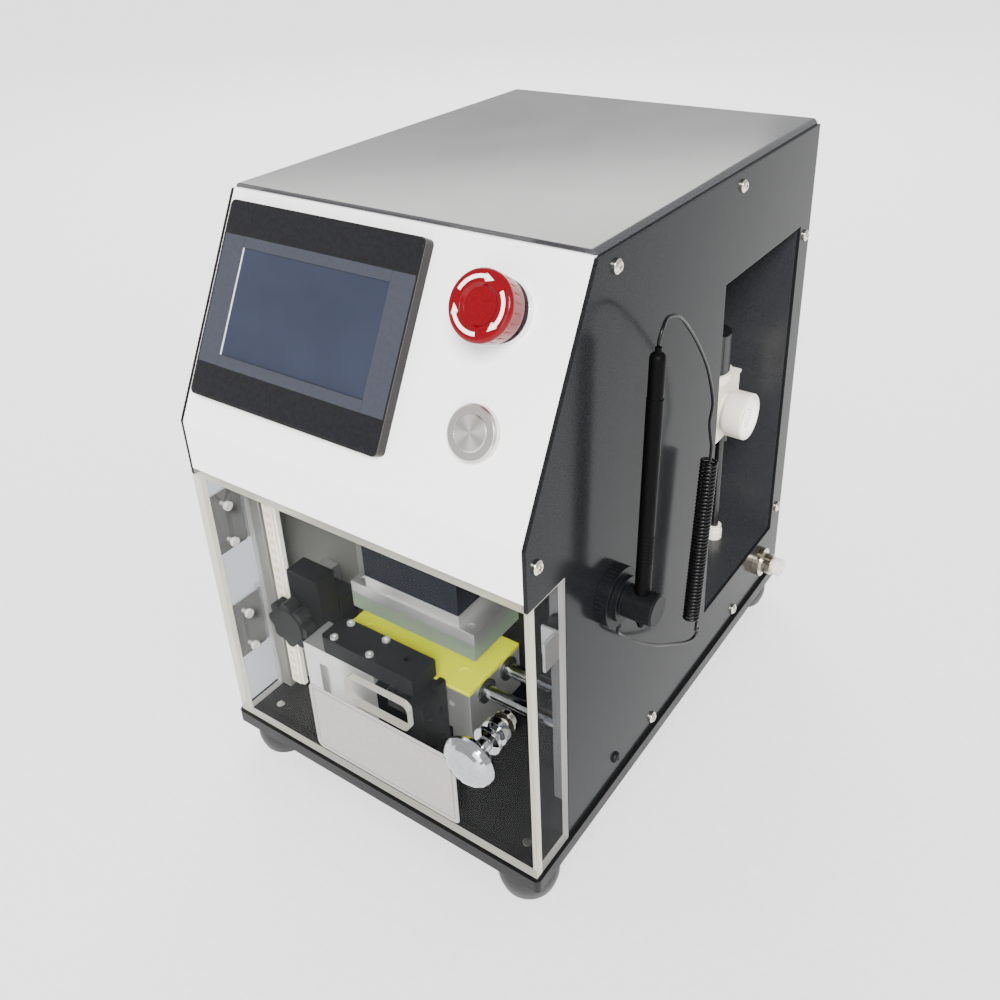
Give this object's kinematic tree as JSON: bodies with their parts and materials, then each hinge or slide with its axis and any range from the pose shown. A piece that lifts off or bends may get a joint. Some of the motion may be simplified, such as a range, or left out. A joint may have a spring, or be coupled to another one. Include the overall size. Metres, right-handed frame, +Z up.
{
  "type": "wire twisting machine",
  "caption": "Bench machine that clamps stripped wire ends behind a clear door and twists the strands between a sliding and a pressing pad.",
  "frame": {"origin": "centre of the footprint, on the surface that the feet stand on", "axes": "+X to the operator's right, +Y to the rear, +Z up"},
  "size_m": [0.2522, 0.352, 0.348],
  "materials": {
    "black_plate": "satin",
    "foot_rubber": "matt",
    "grey_panel": "fine textured",
    "white_panel": "satin",
    "inner_grey": "satin",
    "aluminium": "satin",
    "cream_plastic": "satin",
    "niche_grey": "semi-gloss",
    "zinc": "bright",
    "bezel_grey": "satin",
    "screen_film": "gloss",
    "case_plastic": "matt",
    "collar_metal": "satin",
    "dark_plastic": "matt",
    "red_plastic": "gloss",
    "button_steel": "polished",
    "clear_acrylic": "clear",
    "chrome": "polished",
    "hinge_steel": "satin",
    "bush_dark": "satin",
    "yellow_pad": "matt",
    "black_anodised": "matt",
    "blue_black": "satin",
    "clear_pad": "milky",
    "tool_steel": "ground",
    "stylus_plastic": "satin",
    "cord_skin": "gloss",
    "cream_housing": "satin",
    "knob_black": "satin",
    "hose_black": "satin",
    "inlet_brass": "nickel-plated"
  },
  "bodies": {
    "housing": {"base_plate": "black_plate", "feet": "foot_rubber", "side_panel_left": "grey_panel", "side_panel_right": "grey_panel", "top_cover": "grey_panel", "rear_panel": "grey_panel", "front_panel": "white_panel", "bulkhead": "inner_grey", "front_posts": "aluminium", "light_strip": "cream_plastic", "niche_box": "niche_grey", "housing_fasteners": "zinc", "hmi_bezel": "bezel_grey", "hmi_screen": "screen_film", "hmi_case": "case_plastic", "stop_collar": "collar_metal", "start_bezel": "button_steel", "body_hinges": "hinge_steel", "door_magnets": "dark_plastic", "guide_rods": "chrome", "rod_supports": "aluminium", "drive_cylinder": "aluminium", "press_bracket": "black_anodised", "press_cylinder": "blue_black", "wire_clamp": "aluminium", "clamp_block": "black_anodised", "clamp_cover": "black_anodised", "stylus_holder": "black_anodised", "cord_upper": "cord_skin", "cord_coil": "cord_skin", "cord_lower": "cord_skin", "regulator": "cream_housing", "gauge": "cream_housing", "air_hoses": "hose_black", "air_inlet": "inlet_brass", "rear_fittings": "dark_plastic"},
    "door": {"door_front": "clear_acrylic", "door_sides": "clear_acrylic", "door_pull": "chrome", "door_pull_screw": "zinc", "door_hinges": "hinge_steel", "door_strike": "hinge_steel"},
    "stop_plunger": {"stop_plunger": "dark_plastic"},
    "stop_cap": {"stop_cap": "red_plastic"},
    "start_button": {"start_button": "button_steel"},
    "carriage": {"carriage": "aluminium", "carriage_bushes": "bush_dark", "lower_pad": "yellow_pad", "drive_rod": "chrome"},
    "press_head": {"press_rods": "chrome", "upper_plate": "aluminium", "upper_pad": "clear_pad"},
    "clamp_jaw": {"clamp_jaw": "tool_steel"},
    "stroke_stop": {"stop_block": "black_anodised"},
    "clamp_knob": {"clamp_knob": "dark_plastic"},
    "stylus": {"stylus": "stylus_plastic"},
    "regulator_knob": {"regulator_knob": "knob_black"},
    "gauge_needle": {"gauge_needle": "dark_plastic"},
    "inlet_ring": {"inlet_ring": "cream_plastic"},
    "power_rocker": {"power_rocker": "red_plastic"}
  },
  "joints": [
    {"name": "door_swing", "type": "hinge", "parent": "housing", "child": "door", "pos_m": [-0.12365, -0.114, 0.123], "axis": [0, 0, -1], "range_deg": [0, 105]},
    {"name": "stop_press", "type": "slide", "parent": "housing", "child": "stop_plunger", "axis": [0, 0.88, -0.475], "range_m": [0, 0.004], "stiffness_N_per_m": 600, "springref_m": -0.002},
    {"name": "stop_twist", "type": "hinge", "parent": "stop_plunger", "child": "stop_cap", "pos_m": [0.06115, -0.11288, 0.32609], "axis": [0, -0.88, 0.475], "range_deg": [-30, 0]},
    {"name": "start_press", "type": "slide", "parent": "housing", "child": "start_button", "axis": [0, 0.88, -0.475], "range_m": [0, 0.0025], "stiffness_N_per_m": 500, "springref_m": -0.001},
    {"name": "carriage_slide", "type": "slide", "parent": "housing", "child": "carriage", "axis": [1, 0, 0], "range_m": [0, 0.03]},
    {"name": "press_stroke", "type": "slide", "parent": "housing", "child": "press_head", "axis": [0, 0, -1], "range_m": [0, 0.0169]},
    {"name": "jaw_lift", "type": "slide", "parent": "housing", "child": "clamp_jaw", "axis": [0, 0, 1], "range_m": [0, 0.0044]},
    {"name": "stroke_stop_slide", "type": "slide", "parent": "housing", "child": "stroke_stop", "axis": [-1, 0, 0], "range_m": [0, 0.0028]},
    {"name": "clamp_knob_turn", "type": "hinge", "parent": "stroke_stop", "child": "clamp_knob", "pos_m": [-0.08775, -0.117, 0.096], "axis": [0, -1, 0], "continuous": true},
    {"name": "stylus_pull", "type": "slide", "parent": "housing", "child": "stylus", "axis": [0, 0.061, 0.9981], "range_m": [0, 0.03], "deforming": ["cord_upper"]},
    {"name": "regulator_turn", "type": "hinge", "parent": "housing", "child": "regulator_knob", "pos_m": [0.06315, 0.116, 0.208], "axis": [0, 0, 1], "continuous": true},
    {"name": "gauge_sweep", "type": "hinge", "parent": "housing", "child": "gauge_needle", "pos_m": [0.09055, 0.109, 0.177], "axis": [-1, 0, 0], "range_deg": [0, 270]},
    {"name": "inlet_ring_press", "type": "slide", "parent": "housing", "child": "inlet_ring", "axis": [-1, 0, 0], "range_m": [0, 0.0012], "stiffness_N_per_m": 800, "springref_m": -0.0005},
    {"name": "power_rocker_tilt", "type": "hinge", "parent": "housing", "child": "power_rocker", "pos_m": [-0.07285, 0.172, 0.092], "axis": [1, 0, 0], "range_deg": [0, 18]}
  ]
}
